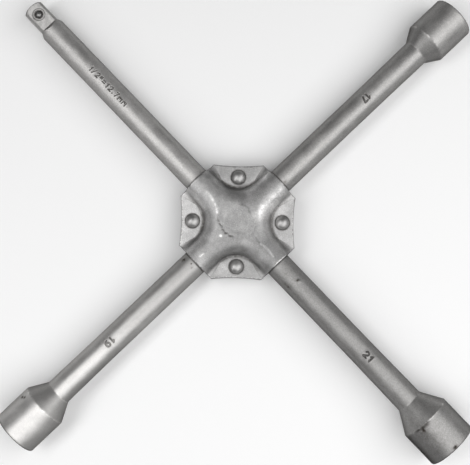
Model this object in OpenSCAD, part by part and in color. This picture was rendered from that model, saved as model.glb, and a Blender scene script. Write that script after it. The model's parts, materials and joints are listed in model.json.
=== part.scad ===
// Four-way lug wrench: a through bar with a square drive and the large socket,
// two socket arms welded to its sides, and two pressed plates riveted over the crossing.
// The crossing of the bar axes is the origin. The large socket points along +X, the square
// drive along -X, the small socket along +Y and the medium socket along -Y. +Z is the front.

/* [Bars] */
// Diameter of the round bars
bar_d = 16; // [13:0.5:19]
// From the crossing to the mouth of each socket
socket_reach = 184; // [150:1:240]
// From the crossing to the tip of the square drive
drive_reach = 185.5; // [150:0.5:240]
// Growth in radius where a bar was upset to forge its socket
upset = 0.3; // [0.1:0.05:0.6]
// Length of bar over which that growth comes in
upset_len = 40; // [20:1:60]

/* [Sockets] */
// Across-flats size of the small socket's recess
small_af = 17.2; // [15:0.1:18.5]
// Outer diameter of the small socket
small_od = 27.7; // [26:0.1:32]
// Length of the small socket's round wall
small_wall_len = 23.8; // [22:0.1:30]
// Length of the small socket's cone
small_cone_len = 9; // [6:0.1:14]
// Across-flats size of the medium socket's recess
medium_af = 19.2; // [17:0.1:20.5]
// Outer diameter of the medium socket
medium_od = 29.4; // [28:0.1:34]
// Length of the medium socket's round wall
medium_wall_len = 24.2; // [22:0.1:30]
// Length of the medium socket's cone
medium_cone_len = 11.4; // [6:0.1:14]
// Across-flats size of the large socket's recess
large_af = 21.2; // [19:0.1:23]
// Outer diameter of the large socket
large_od = 32; // [30:0.1:37]
// Length of the large socket's round wall
large_wall_len = 22.8; // [22:0.1:30]
// Length of the large socket's cone
large_cone_len = 13; // [6:0.1:14]
// Depth of each hexagonal recess
hex_depth = 20; // [14:0.5:21]
// Depth of the round stud relief behind the hexagon
relief_len = 8; // [4:0.5:10]
// Ledge between a flat of the hexagon and the relief
relief_ledge = 1.7; // [1:0.1:3]
// Chamfer round the outside of a socket's mouth
rim_chamfer = 0.8; // [0.3:0.1:1.5]
// Lead-in beyond the hexagon's corners at a socket's mouth
lead_in = 0.6; // [0.2:0.1:1]

/* [Square drive] */
// Across-flats size of the square
square_af = 12.7; // [9.5:0.1:13]
// Length of the square, from its shoulder to its tip
square_len = 17.2; // [15:0.1:24]
// Length of the sloped shoulder behind each flat
shoulder_len = 2; // [1:0.1:4]
// Length of the turned chamfer at the tip
tip_chamfer_len = 2.2; // [1:0.1:4]
// Radius of the flat end left by that chamfer
tip_end_r = 5.9; // [4:0.1:6.3]

/* [Detent] */
// Diameter of the detent ball
ball_d = 5; // [4:0.1:5.5]
// From the tip of the square to the ball's centre
ball_from_tip = 7.6; // [6:0.1:10]
// Radial clearance of the ball in its bore
ball_clear = 0.1; // [0.05:0.05:0.3]
// How far the staked lip closes in from the bore's wall
lip_reach = 0.2; // [0.15:0.05:0.4]
// Height of the staked lip
lip_h = 0.35; // [0.2:0.05:0.6]
// Clear gap between the ball and the lip at rest
lip_gap = 0.05; // [0.02:0.01:0.1]
// Metal left under the ball's bore
bore_floor = 2.7; // [2:0.1:4]
// Mean diameter of the staking groove round the bore
stake_d = 7.6; // [7:0.1:9]
// Width of the staking groove
stake_w = 0.6; // [0.3:0.1:0.8]
// Wire diameter of the detent spring
spring_wire = 0.5; // [0.4:0.05:0.6]
// Turns of the detent spring
spring_turns = 6; // [4:1:6]
// Gap between the spring and what it sits against
spring_gap = 0.1; // [0.05:0.05:0.2]

/* [Hub plates] */
// Thickness of the pressed sheet
plate_t = 2; // [1.5:0.1:3]
// From the crossing to the edge of a plate over each bar
plate_reach = 35.4; // [33:0.1:42]
// Length of a plate's straight edge over each bar
plate_end_w = 28; // [26:0.1:32]
// How far the free edge of each lobe is hollowed
lobe_hollow = 0.95; // [0.3:0.05:2]
// Radius of the web between two bars, at the foot of the raised form
web_r = 14.5; // [11:0.1:16]
// How far the middle of the raised form is dished below the crests
dish = 0.35; // [0.2:0.05:0.6]
// Radius of the dished middle
dish_r = 10; // [8:0.5:10]
// Gap between a bar and the plate over it
plate_clear = 0.1; // [0.05:0.05:0.3]

/* [Rivets] */
// Shank diameter of a rivet
rivet_d = 5; // [4:0.1:6]
// Diameter of a rivet's round head
rivet_head_d = 9.1; // [7.5:0.1:10]
// Height of a rivet's round head
rivet_head_h = 2.6; // [2:0.1:3.6]
// Diameter of the circle through the four rivets
rivet_circle_d = 54.5; // [53:0.1:56]
// Radial clearance of a rivet in its holes
rivet_clear = 0.05; // [0.02:0.01:0.15]

/* [Welds] */
// Gap between the through bar and the flat end of a socket arm
root_gap = 0.1; // [0.05:0.05:0.5]
// Height above the bar axes at which a weld bead begins
weld_root_h = 3; // [2:0.1:4]
// How far a weld bead lies below the bar's surface
weld_sunk = 0.2; // [0.1:0.05:0.5]
// Gap between a weld bead and the through bar
weld_gap = 0.05; // [0.02:0.01:0.1]

/* [Hidden] */
$fn = 64;
hexagon = 6;
spring_sides = 6;
rings_per_turn = 12;
over = 1;

bar_r = bar_d / 2;
arm_start = bar_r + root_gap;
flat_h = square_af / 2;
shoulder_at = drive_reach - square_len;
ball_at = drive_reach - ball_from_tip;
ball_r = ball_d / 2;
ball_bore_r = ball_r + ball_clear;
lip_r = ball_bore_r - lip_reach;
lip_under_z = flat_h - lip_h;
ball_z = lip_under_z - sqrt(pow(ball_r + lip_gap, 2) - pow(lip_r, 2));
bore_bottom_z = bore_floor - flat_h;

spring_r = ball_bore_r - ball_clear - spring_wire;
spring_bottom_z = bore_bottom_z + spring_wire / 2 + spring_gap;
spring_top_z = ball_z - sqrt(pow(ball_r + spring_wire / 2 + spring_gap, 2) - pow(spring_r, 2));
spring_pitch = (spring_top_z - spring_bottom_z) / spring_turns;

channel_r = bar_r + plate_clear;
form_r = channel_r + plate_t;
web_centre = web_r + form_r;
lobe_chord = (plate_reach - plate_end_w / 2) * sqrt(2);
lobe_r = lobe_chord * lobe_chord / (8 * lobe_hollow) + lobe_hollow / 2;
lobe_mid = (plate_reach + plate_end_w / 2) / sqrt(2) - lobe_hollow;
rivet_r = rivet_d / 2;
rivet_head_r = rivet_head_d / 2;
rivet_dome_r = (pow(rivet_head_r, 2) + pow(rivet_head_h, 2)) / (2 * rivet_head_h);

steel = "#a9a9a6";
sheet_steel = "#b2b1ae";
rivet_steel = "#9d9c99";
weld_steel = "#7e7c78";
ball_steel = "#c4c4c4";
spring_steel = "#8c8c90";

// Turns a shape made along +Z so that it lies along +X, with its own +X turned to -Z.
module along_x() {
    rotate([0, 90, 0]) children();
}

// Round bar of radius bar_r from station a to station b along +Z.
module round_bar(a, b) {
    translate([0, 0, a]) cylinder(r = bar_r, h = b - a);
}

// Forged socket with its upset stretch of bar, along +Z, with its mouth at socket_reach.
module socket_blank(od, wall_len, cone_len) {
    wall_at = socket_reach - wall_len;
    cone_at = wall_at - cone_len;
    rotate_extrude() polygon([
        [0, cone_at - upset_len],
        [bar_r, cone_at - upset_len],
        [bar_r + upset, cone_at],
        [od / 2, wall_at],
        [od / 2, socket_reach - rim_chamfer],
        [od / 2 - rim_chamfer, socket_reach],
        [0, socket_reach],
    ]);
}

// Hexagonal recess with its lead-in and the round stud relief behind it, along +Z.
module socket_recess(af) {
    corner_r = af / sqrt(3);
    mouth_r = corner_r + lead_in;
    relief_r = af / 2 - relief_ledge;
    translate([0, 0, socket_reach - hex_depth])
        cylinder(r = corner_r, h = hex_depth + over, $fn = hexagon);
    translate([0, 0, socket_reach - hex_depth - relief_len])
        cylinder(r = relief_r, h = relief_len + over);
    // The lead-in cone passes the mouth by one unit, at 45 degrees, to cut its face cleanly.
    translate([0, 0, socket_reach - mouth_r])
        cylinder(r1 = 0, r2 = mouth_r + over, h = mouth_r + over);
}

// One bar end with its socket, from station start outwards, along +Z.
module socket_end(start, af, od, wall_len, cone_len) {
    difference() {
        union() {
            round_bar(start, socket_reach - wall_len - cone_len - upset_len);
            socket_blank(od, wall_len, cone_len);
        }
        socket_recess(af);
    }
}

// Bar end along +Z with its tip turned to a chamfer.
module turned_tip() {
    chamfer_at = drive_reach - tip_chamfer_len;
    round_bar(0, chamfer_at);
    translate([0, 0, chamfer_at])
        cylinder(r1 = bar_r, r2 = tip_end_r, h = tip_chamfer_len);
}

// Cutter for one flat of the square and its sloped shoulder, on the +X side of a bar along +Z.
module flat_cutter() {
    slope = (bar_r - flat_h) / shoulder_len;
    clear_r = bar_r + over;
    rotate([90, 0, 0]) linear_extrude(2 * clear_r, center = true) polygon([
        [flat_h, drive_reach + over],
        [flat_h, shoulder_at],
        [clear_r, shoulder_at - (clear_r - flat_h) / slope],
        [clear_r, drive_reach + over],
    ]);
}

// Bore for the ball and spring with its staked lip and staking groove, opening along +Z.
module detent_bore() {
    translate([0, 0, bore_bottom_z]) cylinder(r = ball_bore_r, h = lip_under_z - bore_bottom_z);
    translate([0, 0, lip_under_z - over]) cylinder(r = lip_r, h = lip_h + 2 * over);
    rotate_extrude() translate([stake_d / 2, flat_h]) polygon([
        [-stake_w / 2, over],
        [-stake_w / 2, 0],
        [0, -stake_w / 2],
        [stake_w / 2, 0],
        [stake_w / 2, over],
    ]);
}

module drive_bar() {
    color(steel) difference() {
        union() {
            along_x() socket_end(0, large_af, large_od, large_wall_len, large_cone_len);
            rotate([0, 0, 180]) along_x() difference() {
                turned_tip();
                for (turn = [0:90:270]) rotate([0, 0, turn]) flat_cutter();
            }
        }
        translate([-ball_at, 0, 0]) detent_bore();
    }
}

module small_socket_arm() {
    color(steel) rotate([0, 0, 90]) along_x()
        socket_end(arm_start, small_af, small_od, small_wall_len, small_cone_len);
}

module medium_socket_arm() {
    color(steel) rotate([0, 0, -90]) along_x()
        socket_end(arm_start, medium_af, medium_od, medium_wall_len, medium_cone_len);
}

// Bead in the groove between the through bar and an arm's flat end, on the +Y and +Z side.
module weld_bead() {
    bead_r = bar_r - weld_sunk;
    color(weld_steel) difference() {
        intersection() {
            rotate([-90, 0, 0]) cylinder(r = bead_r, h = arm_start);
            translate([-bar_r, 0, weld_root_h]) cube([bar_d, bar_d, bar_r]);
        }
        translate([-bar_r - over, 0, 0]) along_x()
            cylinder(r = bar_r + weld_gap, h = bar_d + 2 * over);
    }
}

// Half disc that stands on the X axis.
module half_disc(r) {
    intersection() {
        circle(r = r);
        translate([-r, 0]) square([2 * r, r]);
    }
}

// Raised form over the crossing, of tube radius r, that reaches len along each bar.
module raised_form(r, len) {
    for (turn = [0, 90]) rotate([0, 0, turn]) rotate([90, 0, 90])
        linear_extrude(2 * len, center = true) half_disc(r);
    for (turn = [0:90:270]) rotate([0, 0, turn]) translate([web_centre, web_centre, 0])
        rotate([0, 0, 180]) rotate_extrude(angle = 90) translate([web_centre, 0]) half_disc(r);
    cylinder(r = dish_r, h = r - dish);
}

// Outline of a plate: an octagon with hollowed free edges on its four lobes.
module plate_outline() {
    end = plate_end_w / 2;
    difference() {
        polygon([
            [plate_reach, -end], [plate_reach, end], [end, plate_reach], [-end, plate_reach],
            [-plate_reach, end], [-plate_reach, -end], [-end, -plate_reach], [end, -plate_reach],
        ]);
        for (turn = [45:90:315]) rotate(turn) translate([lobe_mid + lobe_r, 0]) circle(r = lobe_r);
    }
}

// Moves a shape from the origin to the rivet at the given angle from +X.
module at_rivet(turn) {
    rotate([0, 0, turn]) translate([rivet_circle_d / 2, 0, 0]) children();
}

// Pressed plate with its lobes on the Z = 0 plane and its form raised along +Z.
module pressed_plate() {
    color(sheet_steel) difference() {
        union() {
            linear_extrude(plate_t) plate_outline();
            raised_form(form_r, plate_reach);
        }
        raised_form(channel_r, plate_reach + over);
        for (turn = [45:90:315]) at_rivet(turn)
            translate([0, 0, -over]) cylinder(r = rivet_r + rivet_clear, h = plate_t + 2 * over);
    }
}

module front_plate() {
    pressed_plate();
}

module rear_plate() {
    mirror([0, 0, 1]) pressed_plate();
}

// Round-head rivet, set with a like head on the back, along Z.
module rivet() {
    color(rivet_steel) rotate_extrude() {
        translate([0, -plate_t]) square([rivet_r, 2 * plate_t]);
        for (side = [0, 1]) mirror([0, side]) intersection() {
            translate([0, plate_t + rivet_head_h - rivet_dome_r]) circle(r = rivet_dome_r);
            translate([0, plate_t]) square([rivet_head_r, rivet_head_h]);
        }
    }
}

module detent_ball() {
    color(ball_steel) translate([-ball_at, 0, ball_z]) sphere(r = ball_r);
}

// Centre of the spring's wire at a share of its length from the bottom.
function spring_point(share) = let (turn = 360 * spring_turns * share) [
    spring_r * cos(turn),
    spring_r * sin(turn),
    spring_bottom_z + (spring_top_z - spring_bottom_z) * share,
];

// Point on the wire's surface, at an angle round the wire.
function wire_point(share, around) = let (
    turn = 360 * spring_turns * share,
    outward = spring_wire / 2 * cos(around)
) spring_point(share) + [outward * cos(turn), outward * sin(turn), spring_wire / 2 * sin(around)];

module detent_spring() {
    rings = spring_turns * rings_per_turn;
    last = rings * spring_sides;
    points = [
        for (ring = [0:rings], side = [0:spring_sides - 1])
            wire_point(ring / rings, 360 * side / spring_sides)
    ];
    start_cap = [for (side = [1:spring_sides - 2]) [0, side, side + 1]];
    end_cap = [for (side = [1:spring_sides - 2]) [last, last + side + 1, last + side]];
    skin = [
        for (ring = [0:rings - 1], side = [0:spring_sides - 1], half = [0, 1])
            let (
                next = (side + 1) % spring_sides,
                a = ring * spring_sides + side,
                b = ring * spring_sides + next,
                c = a + spring_sides,
                d = b + spring_sides
            ) half == 0 ? [a, c, b] : [b, c, d]
    ];
    color(spring_steel) translate([-ball_at, 0, 0])
        polyhedron(points = points, faces = concat(start_cap, end_cap, skin));
}

echo(least_gap_in_spring = spring_pitch - spring_wire);

drive_bar();
small_socket_arm();
medium_socket_arm();
weld_bead();  // weld_small_upper
mirror([0, 0, 1]) weld_bead();  // weld_small_lower
mirror([0, 1, 0]) weld_bead();  // weld_medium_upper
mirror([0, 1, 0]) mirror([0, 0, 1]) weld_bead();  // weld_medium_lower
front_plate();
rear_plate();
at_rivet(135) rivet();  // rivet_top
at_rivet(45) rivet();  // rivet_right
at_rivet(-45) rivet();  // rivet_bottom
at_rivet(-135) rivet();  // rivet_left
detent_ball();
detent_spring();
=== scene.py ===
import json
import math

import bmesh
import bpy
import numpy as np
from bpy.props import FloatProperty, FloatVectorProperty, PointerProperty
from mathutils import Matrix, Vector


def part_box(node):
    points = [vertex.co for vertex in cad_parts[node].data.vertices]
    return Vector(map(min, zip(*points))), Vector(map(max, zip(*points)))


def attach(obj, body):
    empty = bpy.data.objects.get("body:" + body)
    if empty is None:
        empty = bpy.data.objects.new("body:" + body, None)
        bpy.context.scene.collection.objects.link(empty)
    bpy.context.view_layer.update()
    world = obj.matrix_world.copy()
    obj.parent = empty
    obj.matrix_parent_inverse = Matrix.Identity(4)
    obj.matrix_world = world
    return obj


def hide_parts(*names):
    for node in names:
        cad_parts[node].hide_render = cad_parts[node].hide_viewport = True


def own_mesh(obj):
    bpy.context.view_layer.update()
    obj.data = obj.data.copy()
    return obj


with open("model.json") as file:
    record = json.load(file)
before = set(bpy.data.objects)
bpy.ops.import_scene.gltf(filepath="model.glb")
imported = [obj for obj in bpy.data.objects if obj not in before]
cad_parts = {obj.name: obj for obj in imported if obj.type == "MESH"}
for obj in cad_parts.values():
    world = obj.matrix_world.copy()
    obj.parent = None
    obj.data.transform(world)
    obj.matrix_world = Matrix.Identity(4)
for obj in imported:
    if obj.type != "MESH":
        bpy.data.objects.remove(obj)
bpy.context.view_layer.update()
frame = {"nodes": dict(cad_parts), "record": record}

bl_info = {
    "name": "Lug Wrench",
    "version": (1, 0, 0),
    "blender": (4, 5, 0),
    "location": "View3D > Sidebar > Lug Wrench",
    "description": "Builds a four-way lug wrench of forged bars, pressed hub plates and rivets",
    "category": "Add Mesh",
}

MM = 0.001
MOUNTS = {mount["name"]: mount for mount in frame["record"]["mounts"]}


def box_mm(node):
    """Lowest and highest corner of a CAD node, in millimetres."""
    return [np.array(corner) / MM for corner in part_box(node)]


def relief_mm(name):
    """Radius of the stud relief behind a socket's hexagon, in millimetres."""
    return MOUNTS[name]["dims"]["r_mm"]


BAR_LOW, BAR_HIGH = box_mm("drive_bar")
SMALL_LOW, SMALL_HIGH = box_mm("small_socket_arm")
MEDIUM_HIGH = box_mm("medium_socket_arm")[1]
PLATE_HIGH = box_mm("front_plate")[1]
BALL_LOW, BALL_HIGH = box_mm("detent_ball")
SPRING_LOW, SPRING_HIGH = box_mm("detent_spring")
RIVETS = {name: box_mm(name) for name in ("rivet_top", "rivet_right", "rivet_bottom", "rivet_left")}
WELDS = ("weld_small_upper", "weld_small_lower", "weld_medium_upper", "weld_medium_lower")

DRIVE_REACH = -BAR_LOW[0]
SOCKET_REACH = BAR_HIGH[0]
ARM_START = SMALL_LOW[1]
RELIEF_LENGTH = MOUNTS["relief_large"]["dims"]["length_mm"]
HEX_DEPTH = SOCKET_REACH - MOUNTS["relief_large"]["pos_m"][0] / MM - RELIEF_LENGTH / 2
BALL_AT = (BALL_LOW + BALL_HIGH) / 2
BORE_FLOOR = -3.65


def length(label, what, value):
    """A size that a user may change, given in millimetres."""
    return FloatProperty(
        name=label, description=what, default=value * MM, min=0.0, precision=5, unit="LENGTH")


def share(label, what, value):
    """A plain number from nought to one that a user may change."""
    return FloatProperty(name=label, description=what, default=value, min=0.0, max=1.0, subtype="FACTOR")


def colour(label, what, value):
    """A linear colour that a user may change."""
    return FloatVectorProperty(
        name=label, description=what, default=value, min=0.0, max=1.0, size=3, subtype="COLOR")


class LugWrenchSizes(bpy.types.PropertyGroup):
    """Sizes of the wrench that its frame's boxes don't give."""
    bar: length("Bar", "Diameter of the round bars", 16.0)
    upset: length("Upset", "Growth in radius where a bar was upset to forge its socket", 0.3)
    upset_length: length("Upset length", "Length of bar over which that growth comes in", 40.0)
    ledge: length("Relief ledge", "Ledge between a hexagon's flat and its stud relief", 1.7)
    lead_in: length("Lead-in", "Lead-in beyond the hexagon's corners at a mouth", 0.6)
    small_wall: length("Small wall", "Length of the small socket's round wall", 23.8)
    small_cone: length("Small cone", "Length of the small socket's cone", 9.0)
    medium_wall: length("Medium wall", "Length of the medium socket's round wall", 24.2)
    medium_cone: length("Medium cone", "Length of the medium socket's cone", 11.4)
    large_wall: length("Large wall", "Length of the large socket's round wall", 22.8)
    large_cone: length("Large cone", "Length of the large socket's cone", 13.0)
    rim: length("Rim rounding", "Radius of the rounded edge round a socket's mouth", 0.8)
    square: length("Square", "Across-flats size of the square drive", 12.7)
    square_length: length("Square length", "Length of the square from its shoulder to its tip", 17.2)
    shoulder: length("Shoulder", "Length of the sloped shoulder behind each flat", 2.0)
    tip_chamfer: length("Tip chamfer", "Length of the turned chamfer at the square's tip", 2.2)
    tip_end: length("Tip end", "Radius of the flat end left by that chamfer", 5.9)
    stamp: length("Size stamp", "Height of the stamped size numbers", 3.8)
    drive_stamp: length("Drive stamp", "Height of the stamped drive size", 3.2)
    stamp_depth: length("Stamp depth", "Depth of the stamped strokes", 0.46)
    sheet: length("Sheet", "Thickness of the pressed sheet", 2.0)
    web: length("Web", "Radius of the web between two bars, at the foot of the raised form", 14.5)
    fold: length("Fold", "Radius of the fold between the raised form and a lobe", 1.1)
    fold_growth: length("Fold growth", "Growth of the fold's radius towards the plate's ends", 4.4)
    plate_round: length("Plate rounding", "Rounding of the plates' sheared edges", 0.4)
    plate_end: length("Plate end", "Length of a plate's straight edge over a bar", 28.0)
    lobe_hollow: length("Lobe hollow", "How far the free edge of each lobe is hollowed", 0.95)
    dish: length("Dish", "How far the middle of the raised form is dished", 0.2)
    rivet_shank: length("Rivet shank", "Shank diameter of a rivet", 5.0)
    wire: length("Spring wire", "Wire diameter of the detent spring", 0.5)


class LugWrenchLooks(bpy.types.PropertyGroup):
    """Colours and finishes of the wrench and its stage."""
    forged: colour("Forged steel", "Blasted steel of the bars", (0.418, 0.411, 0.403))
    sheet: colour("Sheet steel", "Pressed steel of the hub plates", (0.418, 0.414, 0.411))
    rivet: colour("Rivet steel", "Steel of the rivets", (0.430, 0.425, 0.420))
    weld: colour("Weld metal", "Weld beads inside the hub", (0.150, 0.140, 0.130))
    ball: colour("Ball steel", "Worn steel of the detent ball", (0.260, 0.258, 0.255))
    wire: colour("Spring wire", "Drawn wire of the detent spring", (0.300, 0.300, 0.315))
    # This grime colour also paints shade in folds, socket insides, under the plates, at plate ends and round
    # the rivets and the ball.
    grime_with_shade: colour("Grime", "Oily dirt in stamps, folds and corners", (0.050, 0.045, 0.040))
    scorch: colour("Scorch", "Dark heat stain left on a forged socket", (0.075, 0.062, 0.052))
    floor: colour("Floor", "Plain pale floor", (0.950, 0.950, 0.950))
    blast: share("Blast roughness", "Roughness of the blasted bars", 0.50)
    press: share("Press roughness", "Roughness of the pressed plates", 0.5)


def sizes():
    """The wrench's sizes in millimetres, by name."""
    group = bpy.context.scene.lug_wrench_sizes
    return {name: getattr(group, name) / MM for name in LugWrenchSizes.__annotations__}


def looks():
    """The wrench's colours and finishes."""
    return bpy.context.scene.lug_wrench_looks


# Meshes. Points are in millimetres until they go into a mesh.

SHARP = math.radians(34)
MERGE_WITHIN = 1e-7


def steel_object(name, points, faces, marks):
    """New smooth-shaded object with crisp edges, and a number on each point for every mark."""
    mesh = bpy.data.meshes.new(name)
    mesh.from_pydata((np.asarray(points) * MM).tolist(), [], [list(face) for face in faces])
    for mark, values in marks.items():
        stored = mesh.attributes.new(mark, "FLOAT", "POINT")
        stored.data.foreach_set("value", np.asarray(values, np.float32))
    form = bmesh.new()
    form.from_mesh(mesh)
    bmesh.ops.remove_doubles(form, verts=form.verts, dist=MERGE_WITHIN)
    bmesh.ops.dissolve_degenerate(form, edges=form.edges, dist=MERGE_WITHIN)
    bmesh.ops.recalc_face_normals(form, faces=form.faces)
    form.to_mesh(mesh)
    form.free()
    obj = bpy.data.objects.new(name, mesh)
    bpy.context.scene.collection.objects.link(obj)
    crisp(obj)
    return obj


def crisp(obj):
    """Shades a piece smooth, with sharp edges where its faces turn quickly."""
    mesh = obj.data
    mesh.polygons.foreach_set("use_smooth", np.ones(len(mesh.polygons), bool))
    mesh.set_sharp_from_angle(angle=SHARP)
    mesh.update()


def cut_away(obj, cutter):
    """Takes the cutter's shape out of a piece and removes the cutter."""
    tool = obj.modifiers.new("cut", "BOOLEAN")
    tool.operation = "DIFFERENCE"
    tool.solver = "EXACT"
    tool.object = cutter
    graph = bpy.context.evaluated_depsgraph_get()
    whole = obj.data
    obj.data = bpy.data.meshes.new_from_object(
        obj.evaluated_get(graph), preserve_all_data_layers=True, depsgraph=graph)
    obj.modifiers.clear()
    bpy.data.objects.remove(cutter)
    bpy.data.meshes.remove(whole)
    crisp(obj)


def settle(obj, finish, slot, body, *nodes):
    """Gives a piece its finish, the CAD nodes it stands for and its body. Its slot is not used."""
    obj.data.materials.clear()
    obj.data.materials.append(finish)
    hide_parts(*nodes)
    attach(obj, body)


def grid_faces(rows, columns, closed, first=0):
    """Quads of a grid of points, row after row, closed round its columns or not."""
    faces = []
    for row in range(rows - 1):
        for column in range(columns if closed else columns - 1):
            a = first + row * columns + column
            b = first + row * columns + (column + 1) % columns
            faces.append((a, b, b + columns, a + columns))
    return faces


def eased(corners, radii, steps=5):
    """Polyline with each inner corner replaced by an arc of the given radius."""
    corners = [np.array(corner, float) for corner in corners]
    path = [corners[0]]
    for before, corner, after, radius in zip(corners, corners[1:], corners[2:], radii):
        into = (before - corner) / np.linalg.norm(before - corner)
        out = (after - corner) / np.linalg.norm(after - corner)
        half = math.acos(float(np.clip(into @ out, -1, 1))) / 2
        back = radius / math.tan(half)
        middle = corner + (into + out) / np.linalg.norm(into + out) * radius / math.sin(half)
        start = corner + into * back - middle
        end = corner + out * back - middle
        turn = math.acos(float(np.clip(start @ end / radius ** 2, -1, 1)))
        for step in range(steps + 1):
            t = step / steps
            spoke = start * math.sin((1 - t) * turn) + end * math.sin(t * turn)
            path.append(middle + spoke / math.sin(turn))
    path.append(corners[-1])
    return path


def smooth(low, high, value):
    """Soft step from nought at low to one at high."""
    t = np.clip((value - low) / (high - low), 0, 1)
    return t * t * (3 - 2 * t)


def hump(value, half_width):
    """Soft bump of one at nought, which fades out over about two half widths to each side."""
    return np.exp(-((value / half_width) ** 2))


SWELL_SPREAD = (0.6, 1.7)


def uneven(seed, u, v, reach, waves=9):
    """Gentle unevenness between about -1 and 1, with swells about as long as reach."""
    draw = np.random.default_rng(seed)
    total = np.zeros(np.broadcast(u, v).shape)
    for _ in range(waves):
        heading = draw.uniform(0, 2 * math.pi)
        pace = 2 * math.pi / (reach * draw.uniform(*SWELL_SPREAD))
        along = u * math.cos(heading) + v * math.sin(heading)
        total += np.sin(pace * along + draw.uniform(0, 2 * math.pi))
    return total / math.sqrt(waves)


# Stamped marks. Each sign is a width and its lines, in a box one unit high.

def bow(x, y, across, up, start, end, steps=10):
    """Points of an elliptical arc from one angle to another."""
    turns = [math.radians(start + (end - start) * step / steps) for step in range(steps + 1)]
    return [(x + across * math.cos(turn), y + up * math.sin(turn)) for turn in turns]


STROKES = {
    "1": (0.42, [[(0.06, 0.72), (0.30, 1.0), (0.30, 0.0)]]),
    "2": (0.62, [bow(0.31, 0.69, 0.29, 0.31, 165, -35) + [(0.02, 0.0), (0.62, 0.0)]]),
    "7": (0.60, [[(0.0, 1.0), (0.60, 1.0), (0.20, 0.0)]]),
    "9": (0.60, [bow(0.30, 0.68, 0.29, 0.32, 0, 360, 16),
                 [(0.59, 0.68)] + bow(0.20, 0.62, 0.39, 0.62, 0, -100, 8)]),
    "/": (0.50, [[(0.02, 0.0), (0.46, 1.0)]]),
    "=": (0.66, [[(0.0, 0.28), (0.62, 0.28)], [(0.0, 0.68), (0.62, 0.68)]]),
    '"': (0.40, [[(0.06, 1.0), (0.04, 0.52)], [(0.36, 1.0), (0.34, 0.52)]]),
    ".": (0.22, [[(0.10, 0.02), (0.11, 0.05)]]),
    "m": (0.76, [[(0.02, 0.0), (0.02, 0.64), (0.74, 0.62), (0.74, 0.0)], [(0.38, 0.62), (0.38, 0.44)]]),
}
FARTHEST = 9.0
STROKE_CORE, STROKE_EDGE = 0.45, 1.25
BURR_AT, BURR_HALF, BURR_HEIGHT = 1.65, 0.55, 0.06


def stamp_strokes(text, height, gap):
    """Strokes of a stamped text as rows of x0, y0, x1, y1, centred on the origin, in millimetres."""
    strokes, pen = [], 0.0
    for sign in text:
        width, lines = STROKES[sign]
        for line in lines:
            strokes += [(pen + a[0], a[1], pen + b[0], b[1]) for a, b in zip(line, line[1:])]
        pen += width + gap
    middle = np.array([(pen - gap) / 2, 0.5] * 2)
    return (np.array(strokes) - middle) * height


def chain(points):
    """Straight strokes from each point of a line to the next."""
    return [a + b for a, b in zip(points, points[1:])]


def stroke_distance(x, y, strokes):
    """Distance from each point to the nearest of some straight strokes, up to the farthest that counts."""
    nearest = np.full(x.shape, FARTHEST)
    for x0, y0, x1, y1 in strokes:
        run, rise = x1 - x0, y1 - y0
        along = np.clip(((x - x0) * run + (y - y0) * rise) / (run * run + rise * rise), 0, 1)
        nearest = np.minimum(nearest, np.hypot(x - x0 - along * run, y - y0 - along * rise))
    return nearest


def streak(x, y, strokes, half_width):
    """Soft mark along some strokes, from nought to one."""
    return hump(stroke_distance(x, y, strokes), half_width)


def stamped(x, y, strokes, half_width, depth):
    """How far a stamp sinks the surface at each point, with its low burr, and where its strokes are."""
    nearest = stroke_distance(x, y, strokes)
    struck = 1 - smooth(half_width * STROKE_CORE, half_width * STROKE_EDGE, nearest)
    burr = hump(nearest - half_width * BURR_AT, half_width * BURR_HALF)
    return BURR_HEIGHT * burr - depth * struck, struck


# Bars, as rings of points round an axis. Angle 0 is the front and a quarter turn is the local +Y.

TOP_HALF = 22.5
TOP_STEP, SIDE_STEP = 1.25, 2.5
ANGLES = np.radians(np.concatenate([
    np.arange(-TOP_HALF, TOP_HALF, TOP_STEP), np.arange(TOP_HALF, 360 - TOP_HALF, SIDE_STEP)]))
NEAR_ANGLES = (ANGLES + math.pi) % (2 * math.pi) - math.pi
FINE_STEP = 0.17
BAR_STEP = 3.0
SOCKET_STEP = 0.6
LEAD_STEP = 0.2
RELIEF_STEP = 2.0
HEX_RINGS = 8
FLANK_PAINTED_SHADE = 0.3
SOCKET_INSIDE_SHADE = 0.75
DENT_DIRT = 0.9
DENT_CRISPNESS = 1.5
STAMP_HALF = 0.54


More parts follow.
